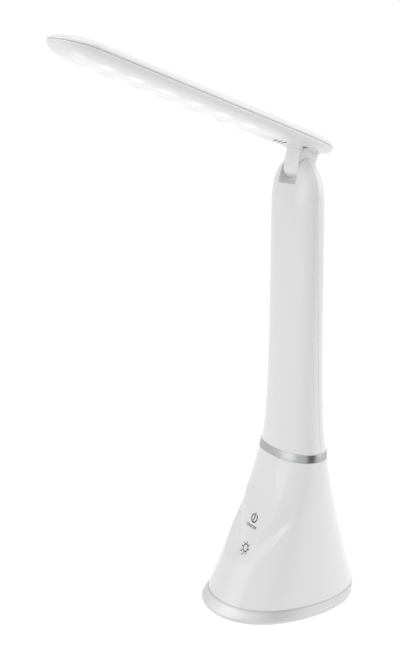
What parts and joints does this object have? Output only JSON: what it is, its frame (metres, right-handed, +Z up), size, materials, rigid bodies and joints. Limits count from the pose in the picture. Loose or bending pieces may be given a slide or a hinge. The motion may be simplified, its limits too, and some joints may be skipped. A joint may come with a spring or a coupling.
{
  "type": "desk lamp",
  "caption": "Folding LED desk lamp: flared base with a scooped touch panel, slim column, and a long flat head that folds down on a clevis hinge.",
  "frame": {"origin": "centre of the foot, on the table", "axes": "+Z up, the lamp's front and its head face -Y, +X to the right seen from the front; the hinge axis is along X"},
  "size_m": [0.0922, 0.2355, 0.4119],
  "materials": {
    "white_housing": "satin moulded plastic",
    "diffuser_white": "satin translucent plastic",
    "neck_plastic": "satin moulded plastic",
    "white_plate": "fine moulded grain",
    "silver_band": "silver paint, satin",
    "silver_trim": "brushed",
    "foot_rubber": "matte",
    "steel_screw": "zinc plated",
    "pressed_steel": "bare pressed steel",
    "ballast_iron": "rough cast",
    "inner_plastic": "plain moulded",
    "cell_wrap": "shrink film",
    "board_green": "solder mask",
    "touch_foam": "conductive foam",
    "socket_metal": "drawn steel",
    "washer_plastic": "hard plastic",
    "lead_sheath": "soft sheath",
    "led_board_white": "white solder mask",
    "led_phosphor": "phosphor",
    "reflector_white": "white reflective sheet"
  },
  "bodies": {
    "stand": {"base_shell": "white_housing", "foot_ring": "silver_band", "base_plate": "white_plate", "rubber_pad": "foot_rubber", "base_screws": "steel_screw", "ballast_weight": "ballast_iron", "battery_tray": "inner_plastic", "tray_screws": "steel_screw", "battery_cell": "cell_wrap", "main_board": "board_green", "board_screws": "steel_screw", "touch_pads": "touch_foam", "charging_board": "board_green", "charging_socket": "socket_metal", "trim_ring": "silver_trim", "column_front_shell": "white_housing", "column_rear_shell": "white_housing", "column_screws": "steel_screw", "hinge_bracket": "pressed_steel", "bracket_screws": "steel_screw", "hinge_pin": "pressed_steel", "hinge_nut": "pressed_steel", "friction_washers": "washer_plastic", "column_lead": "lead_sheath"},
    "head": {"neck_block": "neck_plastic", "neck_screws": "steel_screw", "head_hull": "diffuser_white", "head_cover": "white_housing", "led_board": "led_board_white", "led_chips": "led_phosphor", "reflector": "reflector_white", "strip_screws": "steel_screw", "head_screws": "steel_screw", "head_lead": "lead_sheath"}
  },
  "joints": [
    {"name": "head_tilt", "type": "hinge", "parent": "stand", "child": "head", "pos_m": [0, 0.011, 0.325], "axis": [-1, 0, 0], "range_deg": [-107.5, 41]}
  ]
}
